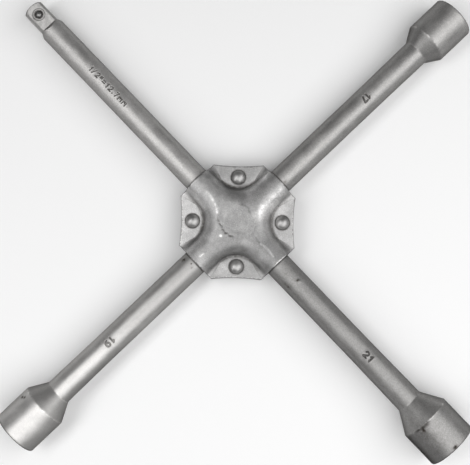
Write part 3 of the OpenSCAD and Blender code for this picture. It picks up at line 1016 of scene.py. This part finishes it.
def steel_finish(name, base, roughness, grain, cloud, depth, speckle, rub=1.0, dirt_and_shade=1.0, scratch=0.0,
                 tint=0.2, cloudy=0.09):
    """Satin steel with blast grain, clouds, hair scratches, grime and painted shade where its points are
    marked, and rubbed edges.
    """
    finish = bpy.data.materials.new(name)
    finish.use_nodes = True
    tree = finish.node_tree
    shader = tree.nodes["Principled BSDF"]
    shader.inputs["Metallic"].default_value = 1.0
    shader.inputs["Specular Tint"].default_value = (tint, tint, tint, 1.0)
    look = looks()
    blast = use(tree, blast_grain, Grain_size=grain, Cloud_size=cloud)
    # Grime and painted shade from the points' marks.
    soil_and_shade = use(tree, grime_and_painted_shade, Amount=dirt_and_shade)["Dirt"]
    worn = use(tree, rubbed_edges, Amount=rub)["Rub"]
    hair = use(tree, fine_scratches, Amount=scratch)["Scratch"]

    def times(first, second):
        """Product of two values."""
        return sum_of(tree, "MULTIPLY", first, second)

    lively = sum_of(tree, "SUBTRACT", 1.0, mark_of(tree, "calm"))
    ground = times(mark_of(tree, "bare"), spread(tree, blast["Mottle"], 0.1, 0.9, 0.4, 0.85))
    burnt = times(mark_of(tree, "scorch"), spread(tree, blast["Mottle"], 0.2, 0.8, 1.3, 0.5))
    tone = blend(tree, blast["Cloud"], shade(base, 1 - cloudy), shade(base, 1 + cloudy))
    layers = (
        (times(spread(tree, blast["Grain"], 0.48, 0.75, 0.0, speckle), lively), base, 1.6),
        (times(spread(tree, blast["Grain"], 0.52, 0.25, 0.0, speckle), lively), base, 0.45),
        (times(spread(tree, blast["Mottle"], 0.0, 1.0, speckle * 0.5, 0.0), lively), base, 0.65),
        (times(hair, 0.5), base, 1.5),
        (times(worn, 0.55), base, 1.7),
        (ground, base, 1.55),
        (burnt, look.scorch, 1.0),
        (times(soil_and_shade, 0.92), look.grime_with_shade, 1.0),
    )
    for amount, steel, by in layers:
        tone = blend(tree, amount, tone, shade(steel, by))
    # The tone mark also holds painted light and shade from the bars' flanks, the plates and the medium arm.
    lighter = sum_of(tree, "ADD", mark_of(tree, "tone"), 1.0)
    lit = node(tree, "ShaderNodeVectorMath", {"Vector": tone, "Scale": lighter}, operation="SCALE")
    tree.links.new(lit.outputs["Vector"], shader.inputs["Base Color"])
    rough = spread(tree, blast["Cloud"], 0.0, 1.0, roughness - 0.035, roughness + 0.035)
    rough = sum_of(tree, "SUBTRACT", rough, times(worn, 0.10))
    rough = sum_of(tree, "ADD", rough, times(soil_and_shade, 0.20))
    tree.links.new(rough, shader.inputs["Roughness"])
    height = sum_of(tree, "SUBTRACT", blast["Grain"], times(hair, 0.6))
    bump = node(tree, "ShaderNodeBump", {"Height": height, "Strength": 1.0, "Distance": depth})
    tree.links.new(bump.outputs["Normal"], shader.inputs["Normal"])
    return finish


def shared_finish(name, base, roughness, **more):
    """A steel finish that several pieces share, built once."""
    return bpy.data.materials.get(name) or steel_finish(name, base, roughness, **more)


def forged_finish():
    """Blasted steel of the bars."""
    look = looks()
    return shared_finish("Blasted forged steel", look.forged, look.blast, grain=0.0007, cloud=0.011,
                         depth=0.00006, speckle=0.4)


def sheet_finish():
    """Pressed steel of the hub plates."""
    look = looks()
    return shared_finish("Pressed sheet steel", look.sheet, look.press, grain=0.0007, cloud=0.008,
                         depth=0.00004, speckle=0.45, rub=1.2, scratch=0.35, cloudy=0.16)


def rivet_finish():
    """Steel of the set rivets."""
    return shared_finish("Set rivet steel", looks().rivet, 0.44, grain=0.0005, cloud=0.004,
                         depth=0.00003, speckle=0.15)


# Operators.

# Painted shadow on a bar just past a plate's end: its offset, half length and amount.
PLATE_SHADOW_OFFSET, PLATE_SHADOW_HALF, PLATE_SHADOW_AMOUNT = 0.3, 0.5, 0.9
UNDER_PLATE, PAST_PLATE, PAST_PLATE_SPOTS = 0.6, 1.6, 6.6
STAMP_ROOM, DRIVE_STAMP_ROOM = 4.5, 17.6
TIP_RINGS, SQUARE_RINGS, SHOULDER_RINGS = 7, 64, 13
TIP_ROUND = 0.06
AFTER_SHOULDER = 0.6
# Painted shade round the ball's hole: its amount, the radius where it is full and where it ends.
HOLE_SHADE, HOLE_DARK, HOLE_SHADE_END = 1.15, 2.8, 3.15
CORNER_RUB, CORNER_HALF = 0.9, 0.35
DRIVE_TEXT, DRIVE_TEXT_AT = '1/2"=12.7mm', -114.6
DRIVE_TEXT_HALF, DRIVE_TEXT_GAP, DRIVE_TEXT_SIDE, DRIVE_TEXT_SINK = 0.37, 0.40, 0.3, 0.7
LARGE_TEXT, LARGE_TEXT_AT = "21", 111.9
DRIVE_TONED, DRIVE_TONES = (-30, 30), (0.22, -0.20, -0.12, -0.19)
SHADED_AT, SHADED_HALF, SHADED_TONE = -72, 26, -0.5
SPATTER_FROM, SPATTER_TO = 41.0, 54.0


def square_end(skin, size):
    """Adds the square drive's rings, from its tip to its shoulder. Gives its chamfer at each angle."""
    bar, flat, tip = size["bar"] / 2, size["square"] / 2, size["tip_end"]
    shoulder_at = size["square_length"] - DRIVE_REACH
    slope = (bar - flat) / size["shoulder"]
    square = np.maximum(np.abs(np.cos(ANGLES)), np.abs(np.sin(ANGLES)))
    around = np.minimum(bar, flat / square)
    chamfer = (around - tip) * size["tip_chamfer"] / (bar - tip)
    shoulder = np.clip((bar * square - flat) / slope, 0, None)
    skin.ring(-DRIVE_REACH, tip * 0.5)
    skin.ring(-DRIVE_REACH, tip - 0.25)
    skin.ring(-DRIVE_REACH + TIP_ROUND, tip - TIP_ROUND)
    for step in np.linspace(0.25, 1, TIP_RINGS):
        skin.ring(-DRIVE_REACH + chamfer * step, tip + (around - tip) * step)
    for step in np.linspace(0, 1, SQUARE_RINGS)[1:]:
        station = (chamfer - DRIVE_REACH) * (1 - step) + shoulder_at * step
        skin.ring(station, around, 0.0, around < bar - 0.02)
    for step in np.linspace(0, 1, SHOULDER_RINGS)[1:]:
        sloped = (flat + shoulder * step * slope) / square
        skin.ring(shoulder * step + shoulder_at, np.minimum(bar, sloped))
    return chamfer


def wear_and_shade_square(skin, size, chamfer):
    """Rubs the square's edges and corners bright, and paints shade on its shoulder and round the hole of the
    ball.
    """
    bar, flat = size["bar"] / 2, size["square"] / 2
    shoulder_at = size["square_length"] - DRIVE_REACH
    from_ball = np.hypot(skin.s - BALL_AT[0], np.sin(skin.turn) * skin.r)
    in_front = (np.cos(skin.turn) > 0) * skin.outside
    # Painted shade round the ball's hole.
    skin.pit = np.maximum(skin.pit, HOLE_SHADE * (1 - smooth(HOLE_DARK, HOLE_SHADE_END, from_ball)) * in_front)
    # Painted shade on the sloped shoulder.
    skin.soil_and_shade(shoulder_at + 0.25, 0.45, 0.5)
    from_tip = skin.s + DRIVE_REACH - chamfer
    from_flat = np.abs((skin.turn + math.pi / 4) % (math.pi / 2) - math.pi / 4)
    from_corner = (from_flat - math.acos(flat / bar)) * bar
    worn = np.maximum(hump(from_tip, CORNER_HALF), hump(from_corner, CORNER_HALF) * (from_tip > 0))
    skin.edge = np.maximum(skin.edge, CORNER_RUB * worn * (skin.s < shoulder_at))


def detent_cutter(size):
    """Tool for the ball's bore, its staked lip and the groove that staking left round it."""
    flat = size["square"] / 2
    lip_r, bore_r, lip_under = 2.4, 2.6, flat - 0.35
    bore = [(0, BORE_FLOOR), (bore_r, BORE_FLOOR), (bore_r, lip_under), (lip_r, lip_under),
            (lip_r, flat + 1.0), (0, flat + 1.0)]
    groove_r, groove_half, above = 3.8, 0.3, flat + 0.5
    inner, outer = groove_r - groove_half, groove_r + groove_half
    groove = [(inner, above), (inner, flat), (groove_r, flat - groove_half), (outer, flat), (outer, above),
              (inner, above)]
    return turned_object("detent_cutter", [bore, groove], (BALL_AT[0], 0, 0), TURNED_SIDES)


class LUGWRENCH_OT_drive_bar(bpy.types.Operator):
    """Through bar with the square drive at one end and the large socket at the other"""
    bl_idname = "lugwrench.drive_bar"
    bl_label = "Drive bar"

    def execute(self, context):
        size = sizes()
        skin = BarSkin()
        chamfer = square_end(skin, size)
        plate_at = PLATE_HIGH[0]
        wall_at, cone_at = socket_end(
            skin, size, "large", 2 * BAR_HIGH[2],
            size["square_length"] - DRIVE_REACH + size["shoulder"] + AFTER_SHOULDER,
            [(DRIVE_TEXT_AT - DRIVE_STAMP_ROOM, DRIVE_TEXT_AT + DRIVE_STAMP_ROOM),
             (-plate_at - PAST_PLATE, -plate_at + UNDER_PLATE),
             (plate_at - UNDER_PLATE, plate_at + PAST_PLATE),
             (SPATTER_FROM, SPATTER_TO), (LARGE_TEXT_AT - STAMP_ROOM, LARGE_TEXT_AT + STAMP_ROOM)])
        skin.bake()
        forge(skin, 3, wall_at, cone_at)
        skin.stamp(DRIVE_TEXT, DRIVE_TEXT_AT, size["drive_stamp"], size["stamp_depth"] * DRIVE_TEXT_SINK,
                   DRIVE_TEXT_HALF, DRIVE_TEXT_GAP, DRIVE_TEXT_SIDE)
        skin.stamp(LARGE_TEXT, LARGE_TEXT_AT, size["stamp"], size["stamp_depth"], gap=0.42, side=0.5)
        # Painted shadow where the bar comes out from under the plates.
        for edge in (-plate_at - PLATE_SHADOW_OFFSET, plate_at + PLATE_SHADOW_OFFSET):
            skin.soil_and_shade(edge, PLATE_SHADOW_HALF, PLATE_SHADOW_AMOUNT)
        tone_along(skin, DRIVE_TONED, wall_at, cone_at, DRIVE_TONES)
        # A nick has station, angle, half length, half width, depth and slant. A stain ends with an amount.
        chip_at = SOCKET_REACH - 1.4
        for nick in ((wall_at + 1.2, -19, 0.8, 3.4, 0.24), (wall_at + 2.0, -24, 0.9, 1.4, 0.2, 0.5),
                     (chip_at, -1, 0.8, 1.4, 0.28), (52.0, 13, 1.1, 0.9, -0.35)):
            skin.dent(*nick)
        for spot in ((50.8, 9, 0.7, 1.0, 0.85), (43.9, -8, 1.8, 0.8, 0.4), (49.5, -40, 2.6, 1.3, 0.6),
                     (wall_at + 1.3, -20, 1.0, 3.4, 0.9), (wall_at + 2.6, -25, 1.5, 1.8, 0.9),
                     (wall_at + 9.0, -25, 9.0, 5.0, 0.2), (chip_at, -1, 1.0, 1.7, 1.0)):
            skin.stain(*spot)
        shaded = hump(np.degrees(skin.turn) - SHADED_AT, SHADED_HALF) * skin.outside
        skin.shade(SHADED_TONE * shaded * smooth(wall_at - 1, wall_at + 1, skin.s))
        skin.soil_and_shade(wall_at + 0.5, 0.65, 1.1, -21, 24)
        skin.rub(wall_at, 0.45, 1.8)
        wear_and_shade_square(skin, size, chamfer)
        obj = skin.object("forged_drive_bar", 0.0)
        cut_away(obj, detent_cutter(size))
        settle(obj, forged_finish(), "forged_steel", "wrench", "drive_bar")
        return {"FINISHED"}


def wear_small_arm(skin, wall_at, cone_at):
    """Stain of the small arm beside the plate."""
    skin.stain(37.1, -23, 1.0, 1.3, 0.6)


# Painted highlight and shade bands along the medium arm as amount, angle and half angle, in degrees from the
# front.
CONE_HIGHLIGHT_BANDS, CONE_PAINTED_SHADE = ((0.42, 33, 16),), 0.15
BAR_LIGHT_AND_SHADE_BANDS, SIDE_PAINTED_SHADE = ((0.25, 12, 20), (-0.40, -16, 12)), 0.38


def banded(turn, bands):
    """Sum of the bands' tones at each angle."""
    return sum(amount * hump(turn - angle, half_angle) for amount, angle, half_angle in bands)


def light_and_wear_medium_arm(skin, wall_at, cone_at):
    """Painted highlight and shade along the medium arm, painted shade on its rim, and its nicks and stains.
    """
    turn = np.degrees(skin.turn)
    on_cone = banded(turn, CONE_HIGHLIGHT_BANDS) - CONE_PAINTED_SHADE
    on_bar = banded(turn, BAR_LIGHT_AND_SHADE_BANDS) - SIDE_PAINTED_SHADE * smooth(30, 60, turn)
    painted_light = np.where((skin.s > cone_at) & (skin.s < wall_at), on_cone, on_bar)
    # Painted highlight and shade round the arm's outer half.
    skin.shade(painted_light * smooth(80, 120, skin.s))
    # Painted shade along the rim.
    skin.soil_and_shade(RIM_LINE, 0.5, 1.1)
    for nick in ((wall_at + 3.6, -47, 0.9, 0.8, 0.3), (wall_at + 4.8, -54, 0.8, 1.0, 0.28)):
        skin.dent(*nick)
    for spot in ((wall_at + 3.6, -47, 0.7, 0.8, 1.0), (wall_at + 4.8, -54, 0.7, 0.9, 1.0),
                 (39.7, -41, 1.4, 1.4, 0.95), (37.6, -1, 0.5, 0.5, 0.9), (38.9, 13, 0.8, 0.5, 0.9)):
        skin.stain(*spot)


ARM_CHAMFER = 0.4
ARM_TONED = (44, 122)

# Each half arm's kind, socket radius and text. The text's station, gap, side, whether it is reversed and
# its dirt. The arm's heading and seed, its tones near the hub, near the socket, on the cone and on the wall,
# how calm its grain is, and its own wear, which on the medium arm adds painted highlight and shade.
HALF_ARMS = (
    ("small", SMALL_HIGH[0], "17", (108.2, 0.25, 0.4, True, 1.0), math.pi / 2, 11,
     (0.03, 0.03, -0.28, 0.08), 0.0, wear_small_arm),
    ("medium", MEDIUM_HIGH[0], "19", (104.8, 0.46, 0.0, False, 0.8), -math.pi / 2, 23,
     (0.06, 0.44, 0.06, 0.56), 0.65, light_and_wear_medium_arm),
)


class LUGWRENCH_OT_socket_arms(bpy.types.Operator):
    """Two half arms with the small and the medium socket"""
    bl_idname = "lugwrench.socket_arms"
    bl_label = "Socket arms"

    def execute(self, context):
        size = sizes()
        bar = size["bar"] / 2
        plate_at = PLATE_HIGH[0]
        for kind, socket_r, text, stamping, heading, seed, tones, calm, wear_and_light in HALF_ARMS:
            text_at, gap, side, reverse, dirt_and_shade = stamping
            skin = BarSkin()
            skin.ring(ARM_START, bar * 0.5)
            skin.ring(ARM_START, bar - 0.5)
            skin.ring(ARM_START + ARM_CHAMFER, bar)
            wall_at, cone_at = socket_end(
                skin, size, kind, 2 * socket_r, ARM_START + ARM_CHAMFER,
                [(plate_at - UNDER_PLATE, plate_at + PAST_PLATE_SPOTS),
                 (text_at - STAMP_ROOM, text_at + STAMP_ROOM)])
            skin.bake()
            forge(skin, seed, wall_at, cone_at)
            skin.stamp(text, text_at, size["stamp"], size["stamp_depth"], STAMP_HALF, gap, side,
                       reverse, dirt_and_shade)
            # Painted shadow where the arm comes out from under the plates.
            skin.soil_and_shade(plate_at + PLATE_SHADOW_OFFSET, PLATE_SHADOW_HALF, PLATE_SHADOW_AMOUNT)
            skin.calm = calm * skin.outside
            tone_along(skin, ARM_TONED, wall_at, cone_at, tones)
            wear_and_light(skin, wall_at, cone_at)
            obj = skin.object(f"forged_{kind}_arm", heading)
            settle(obj, forged_finish(), "forged_steel", "wrench", f"{kind}_socket_arm")
        return {"FINISHED"}


class LUGWRENCH_OT_welds(bpy.types.Operator):
    """Finish of the weld beads that hold the two half arms to the bar"""
    bl_idname = "lugwrench.welds"
    bl_label = "Welds"

    def execute(self, context):
        finish = steel_finish("As welded steel", looks().weld, 0.55, grain=0.0008, cloud=0.003,
                              depth=0.00015, speckle=0.3)
        for name in WELDS:
            bead = frame["nodes"][name]
            bead.material_slots[0].link = "OBJECT"
            bead.material_slots[0].material = finish
        return {"FINISHED"}


class LUGWRENCH_OT_hub_plates(bpy.types.Operator):
    """Front and rear pressed plates over the crossing"""
    bl_idname = "lugwrench.hub_plates"
    bl_label = "Hub plates"

    def execute(self, context):
        size = sizes()
        for name, side in (("front", 1), ("rear", -1)):
            obj = plate_object(f"pressed_{name}_plate", size, side)
            settle(obj, sheet_finish(), "sheet_steel", "wrench", f"{name}_plate")
        return {"FINISHED"}


HEAD_STEPS, BALL_STEPS = 13, 29
HEAD_EDGE, HEAD_GAP = 0.15, 0.02
# Painted shade round the edge of a rivet's head.
HEAD_EDGE_SHADE = 0.8


class LUGWRENCH_OT_rivets(bpy.types.Operator):
    """Four round-head rivets through both plates"""
    bl_idname = "lugwrench.rivets"
    bl_label = "Rivets"

    def execute(self, context):
        size = sizes()
        shank = size["rivet_shank"] / 2
        for name, (low, high) in RIVETS.items():
            middle = (low + high) / 2
            head_r = (high[0] - low[0]) / 2
            head_h = high[2] - size["sheet"]
            dome = (head_r ** 2 + head_h ** 2) / (2 * head_h)
            half = []
            for t in np.linspace(0, math.asin(head_r / dome), HEAD_STEPS):
                half.append((dome * math.sin(t), high[2] - dome + dome * math.cos(t)))
            under = size["sheet"] + HEAD_GAP
            half += [(head_r - HEAD_EDGE, under), (shank, under)]
            profile = half + [(r, -z) for r, z in reversed(half)]
            # Painted shade round the edge of each head.
            painted_edge_shade = [[HEAD_EDGE_SHADE * float(smooth(head_r * 0.86, head_r * 0.99, r))] for r, _ in profile]
            obj = turned_object(f"round_{name}", [profile], (middle[0], middle[1], 0), TURNED_SIDES, painted_edge_shade)
            settle(obj, rivet_finish(), "rivet_steel", "wrench", name)
        return {"FINISHED"}


class LUGWRENCH_OT_detent(bpy.types.Operator):
    """Detent ball and the coil spring under it"""
    bl_idname = "lugwrench.detent"
    bl_label = "Detent ball and spring"

    def execute(self, context):
        look = looks()
        size = sizes()
        radius = (BALL_HIGH[0] - BALL_LOW[0]) / 2
        profile = [(radius * math.sin(t), radius * math.cos(t)) for t in np.linspace(0, math.pi, BALL_STEPS)]
        # Painted shade round the ball's sides, where it sits in its hole.
        painted_edge_shade = [[float(smooth(0.5, 0.8, r / radius))] for r, _ in profile]
        ball = turned_object("worn_ball", [profile], BALL_AT, TURNED_SIDES, painted_edge_shade)
        finish = steel_finish("Worn ball steel", look.ball, 0.42, grain=0.0004, cloud=0.002,
                              depth=0.00001, speckle=0.2)
        settle(ball, finish, "ball_steel", "detent_ball", "detent_ball")
        wire = size["wire"] / 2
        coil_r = (SPRING_HIGH[0] - SPRING_LOW[0]) / 2 - wire
        low, high = SPRING_LOW[2] + wire, SPRING_HIGH[2] - wire
        turns, per_turn, sides = 6, 28, 10
        rows = []
        for step in range(turns * per_turn + 1):
            along = step / (turns * per_turn)
            turn = 2 * math.pi * turns * along
            out = np.array([math.cos(turn), math.sin(turn), 0])
            middle = coil_r * out + np.array([BALL_AT[0], 0, low + (high - low) * along])
            rows.append([middle + wire * (math.cos(a) * out + math.sin(a) * np.array([0, 0, 1.0]))
                         for a in np.linspace(0, 2 * math.pi, sides + 1)])
        work = Patchwork()
        work.patch(rows)
        for end in (0, -1):
            cap = np.array(rows[end])
            work.patch(np.stack([cap, np.broadcast_to(cap[:-1].mean(0), cap.shape)]))
        spring = work.object("coiled_spring")
        finish = steel_finish("Drawn spring wire", look.wire, 0.35, grain=0.0003, cloud=0.002,
                              depth=0.00001, speckle=0.05, dirt_and_shade=0.0)
        settle(spring, finish, "spring_wire", "wrench", "detent_spring")
        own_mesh(spring)
        return {"FINISHED"}


# Stage, in metres and degrees. Each lamp has a name, a place, a span and a level.

LAMP_HEIGHT = 0.8
LAMPS = (
    ("left_softbox", (-0.287, -0.832), (0.320, 1.597), 3.81),
    ("right_softbox", (0.633, 0.376), (1.112, 1.693), 1.97),
)
SURROUND = (0.176, 0.176, 0.176, 1.0)
CAMERA_AT = (0.0561087, -0.0328797, 0.5854009)
CAMERA_TURN = (5.55787, 1.59705, 46.41414)
CAMERA_LENS = 74.136
FLOOR_HALF = 4.0
FLOOR_GAP = 0.0001


class LUGWRENCH_OT_stage(bpy.types.Operator):
    """Pale floor, soft lamps, even surroundings and the camera"""
    bl_idname = "lugwrench.stage"
    bl_label = "Stage"

    def execute(self, context):
        scene = context.scene
        look = looks()
        scene.view_settings.view_transform = "Standard"
        rests = [(SOCKET_REACH, 0, -BAR_HIGH[2]), (0, SOCKET_REACH, -SMALL_HIGH[0]),
                 (0, -SOCKET_REACH, -MEDIUM_HIGH[0])]
        slope = np.linalg.solve([(x, y, 1) for x, y, _ in rests], [z for _, _, z in rests])
        corners = []
        for x, y in ((-1, -1), (1, -1), (1, 1), (-1, 1)):
            far = np.array([x, y]) * FLOOR_HALF
            corners.append((far[0], far[1], float(slope[:2] @ far + slope[2] * MM) - FLOOR_GAP))
        mesh = bpy.data.meshes.new("floor")
        mesh.from_pydata(corners, [], [(0, 1, 2, 3)])
        floor = bpy.data.objects.new("floor", mesh)
        scene.collection.objects.link(floor)
        pale = bpy.data.materials.new("Pale floor")
        pale.use_nodes = True
        shader = pale.node_tree.nodes["Principled BSDF"]
        shader.inputs["Base Color"].default_value = shade(look.floor, 1.0)
        shader.inputs["Roughness"].default_value = 1.0
        shader.inputs["Specular IOR Level"].default_value = 0.0
        mesh.materials.append(pale)
        for name, where, span, level in LAMPS:
            lamp = bpy.data.lights.new(name, "AREA")
            lamp.shape = "RECTANGLE"
            lamp.size, lamp.size_y = span
            lamp.energy = level * math.pi * span[0] * span[1]
            holder = bpy.data.objects.new(name, lamp)
            holder.location = where + (LAMP_HEIGHT,)
            holder.visible_camera = False
            scene.collection.objects.link(holder)
        world = bpy.data.worlds.new("even_surround")
        world.use_nodes = True
        world.node_tree.nodes["Background"].inputs["Color"].default_value = SURROUND
        scene.world = world
        camera = bpy.data.objects.new("camera", bpy.data.cameras.new("camera"))
        camera.location = CAMERA_AT
        camera.rotation_euler = [math.radians(turn) for turn in CAMERA_TURN]
        camera.data.lens = CAMERA_LENS
        scene.collection.objects.link(camera)
        scene.camera = camera
        return {"FINISHED"}


OPERATORS = (
    LUGWRENCH_OT_drive_bar,
    LUGWRENCH_OT_socket_arms,
    LUGWRENCH_OT_welds,
    LUGWRENCH_OT_hub_plates,
    LUGWRENCH_OT_rivets,
    LUGWRENCH_OT_detent,
    LUGWRENCH_OT_stage,
)


class LUGWRENCH_PT_panel(bpy.types.Panel):
    """Lists the wrench's pieces, sizes and looks"""
    bl_idname = "LUGWRENCH_PT_panel"
    bl_label = "Lug Wrench"
    bl_space_type = "VIEW_3D"
    bl_region_type = "UI"
    bl_category = "Lug Wrench"

    def draw(self, context):
        for operator in OPERATORS:
            self.layout.operator(operator.bl_idname)
        for group in (context.scene.lug_wrench_sizes, context.scene.lug_wrench_looks):
            box = self.layout.box()
            for name in group.__annotations__:
                box.prop(group, name)


CLASSES = (LugWrenchSizes, LugWrenchLooks) + OPERATORS + (LUGWRENCH_PT_panel,)


def register():
    """Registers the classes and puts the sizes and looks on the scene."""
    for kind in CLASSES:
        bpy.utils.register_class(kind)
    bpy.types.Scene.lug_wrench_sizes = PointerProperty(type=LugWrenchSizes)
    bpy.types.Scene.lug_wrench_looks = PointerProperty(type=LugWrenchLooks)


def unregister():
    """Takes the sizes and looks off the scene and unregisters the classes."""
    del bpy.types.Scene.lug_wrench_looks
    del bpy.types.Scene.lug_wrench_sizes
    for kind in reversed(CLASSES):
        bpy.utils.unregister_class(kind)


def main():
    register()
    bpy.ops.lugwrench.drive_bar()
    bpy.ops.lugwrench.socket_arms()
    bpy.ops.lugwrench.welds()
    bpy.ops.lugwrench.hub_plates()
    bpy.ops.lugwrench.rivets()
    bpy.ops.lugwrench.detent()
    bpy.ops.lugwrench.stage()


if __name__ == "__main__":
    main()
